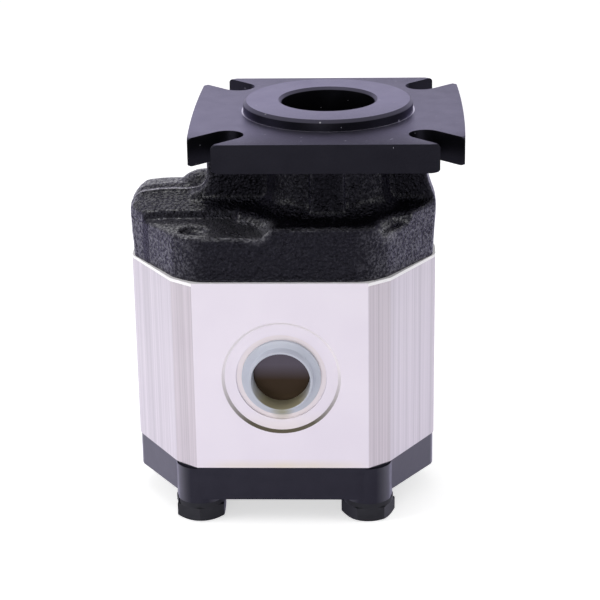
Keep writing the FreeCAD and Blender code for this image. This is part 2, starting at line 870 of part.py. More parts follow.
def main():
    """Build every node of the pump."""
    os.makedirs("parts", exist_ok=True)
    export("front_cover", front_cover())
    export("pump_body", pump_body())
    export("rear_cover", rear_cover())
    export("drive_gear_shaft", drive_gear_shaft())
    export("idler_gear_shaft", idler_gear_shaft())
    ends = (("front", body_top, gear_top, 1), ("rear", body_bottom, gear_bottom, -1))
    for name, outer_face, inner_face, side in ends:
        export(name + "_bearing_block", bearing_block(outer_face, inner_face, side))
        export("drive_" + name + "_bush", bush(drive_x, outer_face, inner_face))
        export("idler_" + name + "_bush", bush(idler_x, outer_face, inner_face))
        export(name + "_axial_seal", axial_seal(outer_face, side))
        export(name + "_backup_ring", backup_ring(outer_face, side))
        export(name + "_body_seal", body_seal(outer_face, side))
    export("shaft_seal", shaft_seal())
    export("seal_retaining_ring", seal_retaining_ring())
    export("front_port_plug", port_plug(-1))
    export("rear_port_plug", port_plug(1))
    bolts = [hex_bolt(x, y, turn) for (x, y), turn in zip(bolt_places, head_turns)]
    export("housing_bolts", Part.makeCompound(bolts))
    washers = [spring_washer(x, y, turn) for (x, y), turn in zip(bolt_places, washer_turns)]
    export("spring_washers", Part.makeCompound(washers))
    pins = [dowel_pin(x, face) for x, y in dowel_places for face in (body_top, body_bottom)]
    export("dowel_pins", Part.makeCompound(pins))


main()
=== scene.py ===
import json
import math

import bpy
from bpy.props import FloatProperty, FloatVectorProperty, IntProperty, PointerProperty
from mathutils import Matrix, Vector

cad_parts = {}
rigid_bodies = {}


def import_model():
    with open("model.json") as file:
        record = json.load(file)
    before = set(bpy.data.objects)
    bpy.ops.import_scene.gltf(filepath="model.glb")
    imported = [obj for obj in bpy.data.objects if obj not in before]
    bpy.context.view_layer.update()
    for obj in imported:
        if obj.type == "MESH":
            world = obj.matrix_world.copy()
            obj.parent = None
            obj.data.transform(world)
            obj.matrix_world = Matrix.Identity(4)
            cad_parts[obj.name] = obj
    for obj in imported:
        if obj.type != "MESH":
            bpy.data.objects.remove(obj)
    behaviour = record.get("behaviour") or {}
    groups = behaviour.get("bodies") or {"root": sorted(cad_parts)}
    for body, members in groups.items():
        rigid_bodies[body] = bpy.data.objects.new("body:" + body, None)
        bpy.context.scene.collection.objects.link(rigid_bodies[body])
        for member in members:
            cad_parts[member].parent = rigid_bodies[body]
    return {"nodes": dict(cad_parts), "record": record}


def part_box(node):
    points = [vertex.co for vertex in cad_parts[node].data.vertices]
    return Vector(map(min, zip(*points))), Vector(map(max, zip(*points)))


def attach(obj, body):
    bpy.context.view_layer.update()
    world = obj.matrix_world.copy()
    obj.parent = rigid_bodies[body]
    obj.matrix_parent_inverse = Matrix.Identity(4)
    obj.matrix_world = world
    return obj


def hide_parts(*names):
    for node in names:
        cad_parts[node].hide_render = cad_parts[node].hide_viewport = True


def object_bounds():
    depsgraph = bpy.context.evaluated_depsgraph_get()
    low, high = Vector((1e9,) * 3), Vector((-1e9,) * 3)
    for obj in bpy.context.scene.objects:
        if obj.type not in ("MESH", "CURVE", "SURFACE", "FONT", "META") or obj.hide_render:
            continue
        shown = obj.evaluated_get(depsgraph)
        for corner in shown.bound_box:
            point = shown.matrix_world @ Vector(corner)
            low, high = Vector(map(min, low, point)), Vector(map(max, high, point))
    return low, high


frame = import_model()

bl_info = {
    "name": "Gear Pump Finish",
    "version": (1, 0, 0),
    "blender": (4, 5, 0),
    "location": "3D View > Sidebar > Gear Pump",
    "description": "Dresses the gear pump's solids with castings, extrusion and plugs",
    "category": "Object",
}

MM = 0.001
WELD = 0.002 * MM
FLAT = 0.01 * MM
BEVEL_ANGLE = math.radians(30)
SMOOTH_ANGLE = math.radians(32)
PLUG_SMOOTH_ANGLE = math.radians(40)

# Colours, linear red, green and blue
BLUE_GLANCE = (0.84, 0.81, 1.0, 1.0)
UNLIT_BLACK = (0.0, 0.0, 0.0)
DUST = (0.34, 0.34, 0.37)
WEAR_AND_HIGHLIGHT = (0.26, 0.25, 0.29)
RUBBED_OXIDE = (0.10, 0.10, 0.12)
PAINTED_LIGHT_GREY = (0.13, 0.128, 0.14)
FOOT_HIGHLIGHT = (0.62, 0.60, 0.68)
PALE_CLOUD = (0.95, 0.95, 0.97)
TOP_SHADE = (0.2, 0.2, 0.2)
FACET_SHADE = (0.84, 0.82, 0.81)
COLLAR_TINT = (1.0, 0.985, 0.92)
RIM_HIGHLIGHT = (1.0, 0.98, 1.0)
BARE_BEVEL = (0.92, 0.86, 0.90)
OILY_BEVEL = (0.09, 0.075, 0.045)
OIL_STAIN = (0.74, 0.66, 0.48)
OIL_TINT = (0.33, 0.31, 0.20)
CUP_FLOOR_BOTTOM = (0.034, 0.022, 0.012)
FLOOR_MOTTLE = (0.84, 0.84, 0.85)

# Places on the front casting's skin, with painted light on the shelf and in the hollows, painted
# shade on the neck and step, and a painted highlight on the seam; the lit hollows' middles are in
# millimetres
LIT_HOLLOWS = (((-24.5, -31, -33), 8 * MM), ((24, -31, -35), 7 * MM), ((-37, -16, -27), 4 * MM))
NECK_LOW, NECK_LEFT = -33.5 * MM, -39 * MM
STEP_Y, STEP_HALF, STEP_TOP, STEP_RIGHT = -14.5 * MM, 1.8 * MM, -30 * MM, -30 * MM
SHELF_Z, SHELF_HALF, SHELF_RIGHT, SHELF_BACK = -36 * MM, 1.6 * MM, -24 * MM, -14 * MM
SEAM_HIGHLIGHT_HALF, SEAM_HIGHLIGHT_LOW = 0.42 * MM, -38 * MM

# Boxes of the solids, and places that follow from them
CAD_BOX = [list(corner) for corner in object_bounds()]
FLANGE_REACH = CAD_BOX[1][0]
BODY_LOW, BODY_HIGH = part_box("pump_body")
BODY_X = (BODY_LOW[0] + BODY_HIGH[0]) / 2
COVER_SEAM_LOW = BODY_HIGH[2] + 2 * MM
BOLT_ROW = 26.7 * MM
PLUG_LOW, PLUG_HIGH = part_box("front_port_plug")
PORT_X = (PLUG_LOW[0] + PLUG_HIGH[0]) / 2
PORT_Z = (PLUG_LOW[2] + PLUG_HIGH[2]) / 2

# Softboxes: name, place, target, width and power in watts
LAMPS = (
    ("left softbox", (-0.80, -0.20, 0.30), (0, 0, -0.07), 0.5, 3.0),
    ("right softbox", (0.80, -0.20, 0.30), (0, 0, -0.07), 0.5, 1.8),
    ("top softbox", (-0.10, 0.20, 0.85), (0, 0, -0.03), 0.5, 1.6),
    ("front fill", (-0.25, -1.3, 0.05), (0, 0, -0.09), 0.6, 4.7),
)


def size(name, value, note):
    """A length that the user can change, in metres."""
    return FloatProperty(
        name=name, default=value, description=note, subtype="DISTANCE", unit="LENGTH"
    )


def tint(name, value, note):
    """A colour that the user can change."""
    return FloatVectorProperty(
        name=name, default=value, description=note, subtype="COLOR", size=3, min=0.0, max=1.0
    )


def scaled(colour, share):
    """A colour made brighter or darker."""
    return [share * part for part in colour]


class CastingSizes(bpy.types.PropertyGroup):
    flange_thickness: size("Flange thickness", 10 * MM, "From the mounting face to the underside")
    grain: size("Remesh grain", 0.70 * MM, "Edge length of the cast skin's mesh")
    sand_height: size("Sand height", 0.16 * MM, "Height of the sand marks on the cast skin")
    wave_height: size("Wave height", 0.35 * MM, "Height of the long waves in the cast skin")
    seam_width: size("Seam half width", 0.95 * MM, "Half the width of the parting seam's ridge")
    seam_height: size("Seam height", 0.55 * MM, "Height of the parting seam's ridge")
    seam_end: size("Seam end", -42.0 * MM, "Place along X up to which the seam stands out")
    edge_break: size("Edge break", 0.25 * MM, "Bevel on the machined edges of the flange")
    side_bow: size("Side bow", 1.3 * MM, "How far the flange's left and right sides stand out")
    smoothing: IntProperty(name="Smoothing", default=9, description="Rounds of softening")
    back_rise: size("Back rise", 1.1 * MM, "How far the shoulder's back half stands higher")
    end_droop: size("End droop", 1.3 * MM, "How far the shoulder's end falls away")
    joint_rise: size("Joint rise", 0.9 * MM, "How far the joint with the body stands higher")
    joint_band: size("Joint band", 0.8 * MM, "Height of the casting's foot that rises with it")
    skin_overlap: size("Skin overlap", 1.2 * MM, "How far the skin reaches up into the flange")
    tapped_radius: size("Tapped hole's skin", 4.6 * MM, "Radius of the skin in the tapped holes")
    tapped_skin: size("Tapped skin", 1.2 * MM, "Thickness of the skin in the tapped holes")
    tapped_fill: size("Tapped hole's floor", -37.8 * MM, "Height of the skin in the tapped holes")
    mound_place: FloatVectorProperty(
        name="Mound", default=(-44.5 * MM, 8.0 * MM, -31.0 * MM), size=3, subtype="TRANSLATION",
        description="Middle of the mound at the foot of the web",
    )
    mound_size: FloatVectorProperty(
        name="Mound size", default=(9.5 * MM, 7.5 * MM, 5.8 * MM), size=3, subtype="TRANSLATION",
        description="Half axes of the mound",
    )
    polished: tint("Polished black", (0.184, 0.171, 0.247), "Colour of the machined tops")
    black: tint("Casting black", (0.0079, 0.0077, 0.0101), "Colour of the blackened castings")


class RearSizes(bpy.types.PropertyGroup):
    edge_break: size("Edge break", 0.6 * MM, "Bevel on the rear cover's edges")
    outer_reach: size("Outer reach", 42.0 * MM, "Where the cover's outer ends begin")
    spread: FloatProperty(name="Spread", default=1.034, description="Stretch of the ends")
    side_reach: size("Side reach", 30.0 * MM, "Where the cover's front and back begin")
    side_spread: FloatProperty(name="Side spread", default=1.022, description="Stretch in depth")


class BodySizes(bpy.types.PropertyGroup):
    edge_break: size("Edge break", 0.25 * MM, "Bevel on the sawn and milled edges")
    outer_reach: size("Outer reach", 42.0 * MM, "Where the body's outer ends begin")
    spread: FloatProperty(name="Spread", default=1.016, description="Stretch of the body's ends")
    silver: tint("Aluminium", (0.765, 0.707, 0.76), "Colour of the bare aluminium")


class PlugSizes(bpy.types.PropertyGroup):
    rim_radius: size("Rim radius", 14.0 * MM, "Outer radius of the rim that bears in the recess")
    rim_thickness: size("Rim thickness", 1.4 * MM, "Thickness of the rim")
    seat_depth: size("Seat depth", 1.8 * MM, "Depth of the rim's seat below the milled face")
    collar_radius: size("Collar radius", 11.2 * MM, "Outer radius of the collar")
    collar_height: size("Collar height", 3.3 * MM, "How far the collar stands out of the face")
    wall: size("Wall", 0.8 * MM, "Wall of the collar and the cup")
    cup_depth: size("Cup depth", 4.6 * MM, "Depth of the cup's floor below the milled face")
    skirt_length: size("Skirt length", 15.8 * MM, "Depth of the plug's closed end")
    tilt: FloatProperty(
        name="Tilt", default=math.radians(0.8), description="Lean of the plug in its port",
        subtype="ANGLE",
    )
    milky: tint("Plug plastic", (0.50, 0.52, 0.60), "Colour of the translucent plug")
    oil_drop: size("Oil drop", 12.0 * MM, "How far the run of oil lies below the port's axis")
    oil: tint("Oil", (0.30, 0.26, 0.14), "Colour of the oil left in the port")
    # Oil and painted shade of the unlit port behind the cup's floor
    dark: tint("Cup floor", (0.085, 0.074, 0.086), "Colour of the dark port behind the cup's floor")


class FastenerSizes(bpy.types.PropertyGroup):
    edge_break: size("Edge break", 0.2 * MM, "Bevel on the bolt heads and washers")
    black: tint("Bolt black", (0.009, 0.009, 0.011), "Colour of the oxide on bolts and washers")


class StageSizes(bpy.types.PropertyGroup):
    lens: FloatProperty(name="Lens", default=116.4, description="Focal length on a 36 mm sensor")
    camera_place: FloatVectorProperty(
        name="Camera", default=(0.01561, -0.66643, 0.17426), size=3, subtype="TRANSLATION",
        description="Where the photograph was taken from",
    )
    camera_yaw: FloatProperty(
        name="Yaw", default=math.radians(-2.282), subtype="ANGLE",
        description="Turn of the view from +Y towards +X",
    )
    camera_pitch: FloatProperty(
        name="Pitch", default=math.radians(20.254), subtype="ANGLE", description="Downward tilt",
    )
    camera_roll: FloatProperty(
        name="Roll", default=math.radians(-0.875), subtype="ANGLE", description="Roll of the view",
    )
    floor_width: size("Floor width", 6.0, "Side of the pale floor")
    floor_pale: tint("Floor", (0.86, 0.86, 0.86), "Colour of the floor")
    floor_glow: tint("Floor glow", (0.6, 0.6, 0.6), "Light that the floor adds where it is seen")
    floor_gleam: tint("Floor gleam", (0.30, 0.28, 0.42), "Light that it adds in reflections")
    surround: FloatProperty(
        name="Surround", default=0.38, description="Strength of the white surround as a light"
    )


class Link:
    """A shader socket that takes part in arithmetic."""

    def __init__(self, shade, socket):
        self.shade = shade
        self.socket = socket

    def __add__(self, other):
        return self.shade.math("ADD", self, other)

    def __sub__(self, other):
        return self.shade.math("SUBTRACT", self, other)

    def __rsub__(self, other):
        return self.shade.math("SUBTRACT", other, self)

    def __mul__(self, other):
        return self.shade.math("MULTIPLY", self, other)

    __rmul__ = __mul__

    def __gt__(self, other):
        return self.shade.math("GREATER_THAN", self, other)

    def __lt__(self, other):
        return self.shade.math("LESS_THAN", self, other)

    def __abs__(self):
        return self.shade.math("ABSOLUTE", self)

    def clamp(self):
        return self.shade.math("ADD", self, 0.0, clamp=True)


class Shade:
    """One node material round a Principled shader."""

    def __init__(self, name, **constants):
        self.material = bpy.data.materials.new(name)
        self.material.use_nodes = True
        self.tree = self.material.node_tree
        self.tree.nodes.clear()
        self.surface = self.tree.nodes.new("ShaderNodeBsdfPrincipled")
        for key, value in constants.items():
            self.surface.inputs[key.replace("_", " ")].default_value = value
        output = self.tree.nodes.new("ShaderNodeOutputMaterial")
        self.tree.links.new(self.surface.outputs[0], output.inputs["Surface"])

    def node(self, kind, settings=None, inputs=None, output=0):
        """Add a node, set it, fill its sockets and return one of its outputs."""
        item = self.tree.nodes.new(kind)
        for key, value in (settings or {}).items():
            if key == "stops":
                self.fill_ramp(item.color_ramp, value)
            else:
                setattr(item, key, value)
        for key, value in (inputs or {}).items():
            if isinstance(value, Link):
                self.tree.links.new(value.socket, item.inputs[key])
            else:
                item.inputs[key].default_value = value
        return Link(self, item.outputs[output])

    @staticmethod
    def fill_ramp(ramp, stops):
        """Set a ramp's stops from pairs of place and grey level."""
        while len(ramp.elements) < len(stops):
            ramp.elements.new(1.0)
        for element, (place, level) in zip(ramp.elements, stops):
            element.position = place
            element.color = (level, level, level, 1.0)

    def math(self, operation, *values, clamp=False):
        """One Math node on numbers or links."""
        settings = {"operation": operation, "use_clamp": clamp}
        return self.node("ShaderNodeMath", settings, dict(enumerate(values)))

    def mix(self, factor, low, high):
        """Blend of two colours."""
        settings = {"data_type": "RGBA", "clamp_factor": True}
        ends = {6: self.colour(low), 7: self.colour(high)}
        return self.node("ShaderNodeMix", settings, {0: factor, **ends}, 2)

    def tinted(self, colour, tint):
        """A colour multiplied by a tint."""
        settings = {"data_type": "RGBA", "blend_type": "MULTIPLY"}
        ends = {6: self.colour(colour), 7: self.colour(tint)}
        return self.node("ShaderNodeMix", settings, {0: 1.0, **ends}, 2)

    @staticmethod
    def colour(value):
        """A colour with its alpha, or a link as it is."""
        if isinstance(value, Link):
            return value
        return (value[0], value[1], value[2], 1.0)

    def ramp(self, value, *stops):
        """Grey levels at places from 0 to 1 of a value."""
        return self.node("ShaderNodeValToRGB", {"stops": stops}, {0: value})

    def fade(self, value, start, end, first=0.0, last=1.0):
        """A level that goes from first to last while a length goes from start to end."""
        inputs = {
            "Value": value, "From Min": start, "From Max": end, "To Min": first, "To Max": last,
        }
        return self.node("ShaderNodeMapRange", {"clamp": True}, inputs)

    def length(self, *parts):
        """Square root of the sum of the squares."""
        total = parts[0] * parts[0]
        for part in parts[1:]:
            total = total + part * part
        return self.math("SQRT", total)

    def place(self, stretch=(1.0, 1.0, 1.0), shift=(0.0, 0.0, 0.0)):
        """Object coordinates, stretched by a factor along each axis."""
        coordinates = self.node("ShaderNodeTexCoord", output="Object")
        return self.node(
            "ShaderNodeMapping", None, {0: coordinates, "Scale": stretch, "Location": shift}
        )

    def axes(self, vector):
        """The three parts of a vector."""
        split = self.node("ShaderNodeSeparateXYZ", None, {0: vector})
        outputs = split.socket.node.outputs
        return tuple(Link(self, outputs[index]) for index in range(3))

    def normal(self):
        """The three parts of the surface's normal."""
        return self.axes(self.node("ShaderNodeNewGeometry", output="Normal"))

    def worn(self, start, end):
        """One on convex edges, none on flat faces and in hollows."""
        edge = self.node("ShaderNodeNewGeometry", output="Pointiness")
        return self.ramp(edge, (start, 0.0), (end, 1.0))

    def rays(self, *kinds):
        """One where a ray is of any of these kinds."""
        path = self.tree.nodes.new("ShaderNodeLightPath")
        total = Link(self, path.outputs[kinds[0]])
        for kind in kinds[1:]:
            total = self.math("MAXIMUM", total, Link(self, path.outputs[kind]))
        return total

    def noise(self, grain, detail=2.0, roughness=0.5, stretch=(1.0, 1.0, 1.0), shift=0.0):
        """Cloudy noise whose features are about one grain wide, in metres."""
        inputs = {
            "Vector": self.place(stretch, (shift, shift, shift)), "Scale": 1.0 / grain,
            "Detail": detail, "Roughness": roughness,
        }
        return self.node("ShaderNodeTexNoise", {"normalize": True}, inputs)

    def cells(self, grain, shift=0.0):
        """Distance to the nearest of many scattered points, a grain apart."""
        inputs = {"Vector": self.place(shift=(shift, shift, shift)), "Scale": 1.0 / grain}
        return self.node("ShaderNodeTexVoronoi", {"feature": "F1"}, inputs)

    def bump(self, height, distance):
        """Surface relief of a height map, with the height in metres of its full range."""
        inputs = {"Height": height, "Distance": distance, "Strength": 1.0}
        return self.node("ShaderNodeBump", None, inputs)

    def drive(self, **links):
        """Link sockets of the Principled shader by name."""
        for key, value in links.items():
            self.tree.links.new(value.socket, self.surface.inputs[key.replace("_", " ")])
        return self.material


def cast_skin(name, sizes):
    """Blackened sand-cast iron: sand grain, pits and glints on its rubbed tops and sides, painted
    highlights on its seam and edges, painted shade on its neck and step, and painted light in its
    hollows.
    """
    black = sizes.black
    shade = Shade(name, Specular_Tint=BLUE_GLANCE, Coat_Roughness=0.18)
    grain = shade.noise(1.0 * MM, 3.0, 0.66)
    sand = shade.cells(1.0 * MM)
    broad = shade.noise(7 * MM, 2.0, 0.5, shift=0.3)
    pits = shade.ramp(shade.noise(2.2 * MM, 2.0, 0.55, shift=0.7), (0.30, 0.0), (0.42, 1.0))
    relief = shade.bump(grain * 0.9 + sand * 0.5 + pits * 0.5, 0.9 * MM)
    gloss = shade.ramp(broad, (0.3, 0.26), (0.7, 0.36))
    peaks = shade.ramp(grain, (0.47, 0.0), (0.60, 1.0))
    x, y, z = shade.axes(shade.place())
    across, _, up = shade.normal()
    neck = (z > NECK_LOW) * (x > NECK_LEFT)
    step_shade = (z < STEP_TOP) * (abs(y - STEP_Y) < STEP_HALF) * (x < STEP_RIGHT) * (up < 0.8)
    seam_highlight = (abs(y) < SEAM_HIGHLIGHT_HALF) * (x < sizes.seam_end) * (z > SEAM_HIGHLIGHT_LOW)
    shelf = (abs(z - SHELF_Z) < SHELF_HALF) * (x < SHELF_RIGHT) * (y < SHELF_BACK)
    # Painted light: the shelf and the hollows are lightened, and made less metallic below
    lit = shelf * shade.ramp(up, (0.5, 0.0), (0.85, 1.0)) * 0.5
    for middle, reach in LIT_HOLLOWS:
        settings = {"operation": "DISTANCE"}
        ends = {0: shade.place(), 1: scaled(middle, MM)}
        distance = shade.node("ShaderNodeVectorMath", settings, ends, "Value")
        lit = shade.math("MAXIMUM", lit, shade.fade(distance, 0.5 * reach, reach, 1.0, 0.0))
    colour = shade.mix(broad, black, scaled(black, 1.2))
    colour = shade.mix(peaks * 0.6, colour, scaled(black, 2.4))
    # Painted highlight: a bright line along the parting seam
    colour = shade.mix(seam_highlight * 0.8, colour, WEAR_AND_HIGHLIGHT)
    # Painted shade: the neck under the flange is darkened towards black
    colour = shade.mix(neck * 0.3, colour, UNLIT_BLACK)
    # Rubbed wear and painted highlight on the convex edges, kept dimmer on the shaded neck
    colour = shade.mix(shade.worn(0.52, 0.60) * (1 - neck * 0.6) * 0.35, colour, WEAR_AND_HIGHLIGHT)
    colour = shade.mix(lit * (peaks * 0.8 + 0.2), colour, PAINTED_LIGHT_GREY)
    rubbed = shade.math("MAXIMUM", abs(across) * 0.95, up * 0.85) * (peaks * 1.9 + 0.13)
    # Painted shade: less coat on the neck under the flange and on the overhung step wall
    rubbed = rubbed * (1 - neck * 0.75) * (1 - step_shade * 0.9)
    return shade.drive(
        Base_Color=colour, Roughness=gloss, Normal=relief, Coat_Weight=rubbed.clamp(),
        # Less metal where light is painted in, so that the pale colour shows
        Metallic=0.9 - lit * 0.75,
    )


def machined_black(name, sizes):
    """Blackened machined iron, polished on top: turning marks, soft mottling and dust, with painted
    light across the tops and a painted highlight at the pilot's foot.
    """
    black = sizes.black
    turning_pitch, pilot_low, corner_reach = 0.32 * MM, 3 * MM, 29 * MM
    foot_radius, foot_half, foot_high, foot_back = 30.3 * MM, 0.28 * MM, 0.4 * MM, 12 * MM
    fall_right, fall_back = 2.7, 3.4
    shade = Shade(name, Metallic=0.92, Specular_Tint=BLUE_GLANCE)
    cloud = shade.noise(9 * MM, 3.0, 0.6)
    fine = shade.noise(0.5 * MM, 2.0, 0.5)
    spots = shade.ramp(shade.noise(1.3 * MM, 2.0, 0.5, shift=0.4), (0.66, 0.0), (0.74, 1.0))
    gloss = shade.ramp(cloud, (0.3, 0.30), (0.75, 0.38))
    x, y, z = shade.axes(shade.place())
    radius = shade.length(x, y)
    turning = shade.math("SINE", radius * (2 * math.pi / turning_pitch))
    up = shade.normal()[2]
    top = shade.ramp(up, (0.60, 0.0), (0.72, 0.30), (0.90, 0.35), (0.97, 1.0))
    relief = shade.bump(fine * 0.7 + turning * top * 0.12, 0.05 * MM)
    colour = shade.mix(cloud, black, scaled(black, 1.4))
    colour = shade.mix(spots * 0.5, colour, scaled(black, 0.6))
    # Painted light and reflection on the polished tops: darker at the front, to the right and
    # towards the back, lighter on the pilot
    front = shade.fade(y, -45 * MM, -corner_reach, 0.09, 0.59)
    pilot = (z > pilot_low) * shade.fade(y, -corner_reach, -5 * MM, 0.10, 0.41)
    behind = shade.math("MAXIMUM", y, 0.0)
    bright = (front - x * fall_right - behind * fall_back + pilot).clamp()
    colour = shade.mix(top * bright, colour, sizes.polished)
    # Painted highlight: a thin bright ring at the foot of the pilot
    foot = (abs(radius - foot_radius) < foot_half) * (z < foot_high) * (y < foot_back)
    colour = shade.mix(foot, colour, FOOT_HIGHLIGHT)
    dust = (shade.cells(7 * MM, 0.37) < 0.05) + (shade.cells(4 * MM, 0.81) < 0.045)
    colour = shade.mix(dust.clamp() * 0.8, colour, DUST)
    return shade.drive(Base_Color=colour, Roughness=gloss, Normal=relief)


def painted_black(name, black):
    """Smooth satin black over a casting, rubbed bright towards its ends."""
    shade = Shade(name, Metallic=0.9, Specular_Tint=BLUE_GLANCE, Coat_Roughness=0.30)
    cloud = shade.noise(6 * MM, 3.0, 0.6)
    fine = shade.noise(0.9 * MM, 2.0, 0.5)
    relief = shade.bump(cloud * 0.8 + fine * 0.2, 0.12 * MM)
    colour = shade.mix(cloud, scaled(black, 2.65), scaled(black, 3.45))
    gloss = shade.ramp(cloud, (0.3, 0.34), (0.7, 0.42))
    ends = shade.ramp(abs(shade.normal()[0]), (0.35, 0.0), (0.7, 1.0))
    return shade.drive(Base_Color=colour, Roughness=gloss, Normal=relief, Coat_Weight=ends)


def from_port(shade):
    """Distance from the ports' axis along X, along Z and in all, and the place along Y."""
    x, y, z = shade.axes(shade.place())
    across, down = x - PORT_X, z - PORT_Z
    return across, down, shade.length(across, down), y


def oil_run(shade, across, down, y, drop):
    """The soft run of oil under the front plug's mouth, fading to none."""
    reach = shade.length(across, down + drop)
    return shade.fade(reach, 1.15 * MM, 4.6 * MM, 0.85, 0.0) * (y < 0)


def bare_aluminium(name, silver, drop):
    """Extruded aluminium with die lines, and milled faces where it looks along Y; painted shade on
    its side facets and towards its top, and a painted highlight along its top edge.
    """
    collar_radius, pool_radius = 15.8 * MM, 20.6 * MM
    bevel_inner, bevel_outer, bevel_depth = 19.8 * MM, 21.3 * MM, 1.2 * MM
    spill_x, rim_height = -16 * MM, 0.2 * MM
    shade = Shade(name, Specular_IOR_Level=0.5)
    drawn_out = (1.0, 1.0, 0.004)
    lines = shade.noise(0.55 * MM, 3.0, 0.6, drawn_out)
    broad_lines = shade.noise(2.6 * MM, 2.0, 0.5, drawn_out, 0.5)
    cutter = shade.noise(0.4 * MM, 2.0, 0.5, (1.0, 1.0, 0.05), 0.2)
    cloud = shade.noise(14 * MM, 3.0, 0.6, shift=0.9)
    gloss = shade.ramp(cloud, (0.3, 0.36), (0.7, 0.46))
    sideways, outwards, upwards = (abs(part) for part in shade.normal())
    milled = outwards > 0.97
    drawn = 1 - shade.math("MAXIMUM", milled, upwards > 0.8)
    facet_shade = (sideways > 0.4) * (sideways < 0.75)
    height = drawn * (lines * 0.7 + broad_lines * 0.8) + milled * cutter * 0.12
    relief = shade.bump(height, 0.05 * MM)
    streaks = shade.ramp((lines * 0.6 + broad_lines * 0.4) * drawn, (0.42, 0.0), (0.62, 1.0))
    colour = shade.mix(streaks, silver, scaled(silver, 0.80))
    # Painted shade: the side facets are darker than the front and the chamfers
    colour = shade.mix(facet_shade, colour, shade.tinted(colour, FACET_SHADE))
    colour = shade.mix(cloud * 0.10, colour, PALE_CLOUD)
    x, _, z = shade.axes(shade.place())
    level = (z - BODY_LOW[2]) * (1 / (BODY_HIGH[2] - BODY_LOW[2]))
    # Painted shade: darker towards the top of the body
    colour = shade.mix(level * level * 0.10, colour, TOP_SHADE)
    across, down, radius, y = from_port(shade)
    collar = (radius < collar_radius) * milled
    colour = shade.mix(collar, colour, shade.tinted(colour, COLLAR_TINT))
    pool = (radius < pool_radius) * shade.fade(down, -12.5 * MM, -20.5 * MM, 0.0, 0.30) * (y < 0)
    colour = shade.mix(pool, colour, OIL_STAIN)
    colour = shade.mix(oil_run(shade, across, down, y, drop), colour, OIL_TINT)
    low = shade.fade(down, 3.85 * MM, -17.3 * MM)
    bevel = (radius > bevel_inner) * (radius < bevel_outer) * (1 - milled)
    bevel = bevel * (abs(y) > BODY_HIGH[1] - bevel_depth)
    colour = shade.mix(bevel * low, colour, OILY_BEVEL)
    colour = shade.mix(bevel * (1 - low), colour, BARE_BEVEL)
    spill = shade.fade(z, BODY_LOW[2] + 1.0 * MM, BODY_LOW[2] + 3.6 * MM, 0.95, 0.0) * cloud
    spill = spill * shade.fade(abs(x - spill_x), 12.5 * MM, 32 * MM, 1.0, 0.0)
    colour = shade.mix(spill, colour, OIL_STAIN)
    # Painted highlight: a near-white, non-metallic band along the top edge
    rim = (z > BODY_HIGH[2] - rim_height) * (1 - milled)
    colour = shade.mix(rim, colour, RIM_HIGHLIGHT)
    metal = 0.55 * (1 - shade.math("MAXIMUM", rim, bevel))
    return shade.drive(Base_Color=colour, Metallic=metal, Roughness=gloss, Normal=relief)


def milky_plastic(name, sizes):
    """Translucent moulded polythene, oily, with oil and painted shade on the cup's floor where it
    covers the dark port.
    """
    floor_height = 0.35 * MM
    shade = Shade(name, Roughness=0.30, Specular_IOR_Level=0.5)
    across, down, radius, y = from_port(shade)
    inside = radius < sizes.collar_radius - 0.9 * sizes.wall
    floor = inside * (abs(y) < BODY_HIGH[1] - sizes.cup_depth + floor_height)
    low = shade.fade(down, -1.67 * MM, -8.33 * MM)
    deep = shade.fade(down, 3.33 * MM, -2.5 * MM)
    tone = shade.mix(shade.noise(6 * MM, 2.0, 0.5), sizes.milky, scaled(sizes.milky, 1.15))
    tone = shade.mix(inside * low * 0.9, tone, sizes.oil)
    # Oil and painted shade of the unlit port behind the cup's floor, darker and browner towards the
    # bottom
    tone = shade.mix(floor, tone, shade.mix(deep, sizes.dark, CUP_FLOOR_BOTTOM))
    run = oil_run(shade, across, down, y, sizes.oil_drop)
    tone = shade.mix(run * (1 - inside), tone, OIL_TINT)
    relief = shade.bump(shade.noise(0.8 * MM), 0.02 * MM)
    return shade.drive(Base_Color=tone, Metallic=floor * 0.9, Normal=relief)


def plain_metal(name, colour, metallic, gloss, grain):
    """Machined metal of the inner parts, with fine marks and slight staining."""
    shade = Shade(name, Metallic=metallic)
    cloud = shade.noise(5 * MM, 2.0, 0.5)
    tone = shade.mix(cloud, colour, scaled(colour, 0.8))
    rough = shade.ramp(cloud, (0.3, gloss), (0.7, gloss + 0.1))
    relief = shade.bump(shade.noise(grain, 2.0, 0.5), 0.02 * MM)
    return shade.drive(Base_Color=tone, Roughness=rough, Normal=relief)


def soft_stuff(name, colour, gloss):
    """Moulded rubber or plastic with a fine matt grain."""
    shade = Shade(name, Specular_IOR_Level=0.4)
    cloud = shade.noise(4 * MM, 2.0, 0.5)
    tone = shade.mix(cloud, colour, scaled(colour, 0.75))
    rough = shade.ramp(cloud, (0.3, gloss), (0.7, gloss + 0.12))
    relief = shade.bump(shade.noise(0.35 * MM, 2.0, 0.5), 0.03 * MM)
    return shade.drive(Base_Color=tone, Roughness=rough, Normal=relief)


def black_oxide(name, black):
    """Black oxide on hardened steel, with rubbed pale edges."""
    shade = Shade(name, Specular_IOR_Level=0.13)
    cloud = shade.noise(3 * MM, 3.0, 0.6)
    tone = shade.mix(cloud, black, scaled(black, 2.2))
    tone = shade.mix(shade.worn(0.50, 0.60) * 0.25, tone, RUBBED_OXIDE)
    gloss = shade.ramp(cloud, (0.3, 0.30), (0.7, 0.42))
    relief = shade.bump(shade.noise(0.4 * MM, 2.0, 0.5), 0.04 * MM)
    return shade.drive(Base_Color=tone, Roughness=gloss, Normal=relief)


def deselect():
    """Leave nothing selected."""
    for item in bpy.context.view_layer.objects:
        item.select_set(False)


def activate(piece):
    """Make one object the only selected and active one."""
    deselect()
    piece.select_set(True)
    bpy.context.view_layer.objects.active = piece


